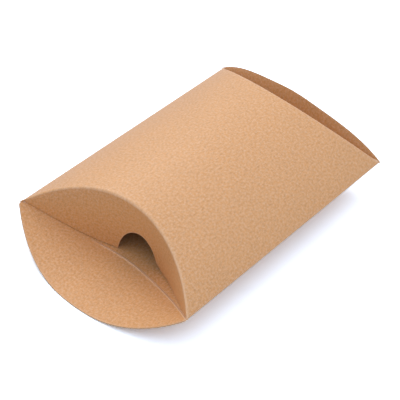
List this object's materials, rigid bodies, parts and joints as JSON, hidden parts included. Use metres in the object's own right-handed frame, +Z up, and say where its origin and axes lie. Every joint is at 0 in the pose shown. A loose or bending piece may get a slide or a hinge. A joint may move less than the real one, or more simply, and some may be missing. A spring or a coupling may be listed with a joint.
{
  "type": "pillow gift box",
  "caption": "Folded kraft board pillow box with curved creases, lens-shaped end flaps, a thumb notch and one end open.",
  "frame": {"origin": "centre of the flat strip under the bottom panel, on the surface the box stands on", "axes": "+X runs along the box from the open front end to the back end, +Y points to the side crease with the glue tab, +Z points up"},
  "size_m": [0.1277, 0.08, 0.0298],
  "materials": {
    "kraft_board": "matte"
  },
  "bodies": {
    "sleeve": {"box_sleeve": "kraft_board"},
    "front_lower": {"front_lower_flap": "kraft_board"},
    "front_upper": {"front_upper_flap": "kraft_board"},
    "back_lower": {"back_lower_flap": "kraft_board"}
  },
  "joints": [
    {"name": "front_lower_crease", "type": "hinge", "parent": "sleeve", "child": "front_lower", "pos_m": [-0.042, 0, 0], "axis": [0, 1, 0], "range_deg": [0, 82], "deforming": ["front_lower_flap"]},
    {"name": "front_upper_crease", "type": "hinge", "parent": "sleeve", "child": "front_upper", "pos_m": [-0.042, 0, 0.0298], "axis": [0, 1, 0], "range_deg": [0, 95], "deforming": ["front_upper_flap"]},
    {"name": "back_lower_crease", "type": "hinge", "parent": "sleeve", "child": "back_lower", "pos_m": [0.042, 0, 0], "axis": [0, -1, 0], "range_deg": [-72, 10], "deforming": ["back_lower_flap"]}
  ]
}
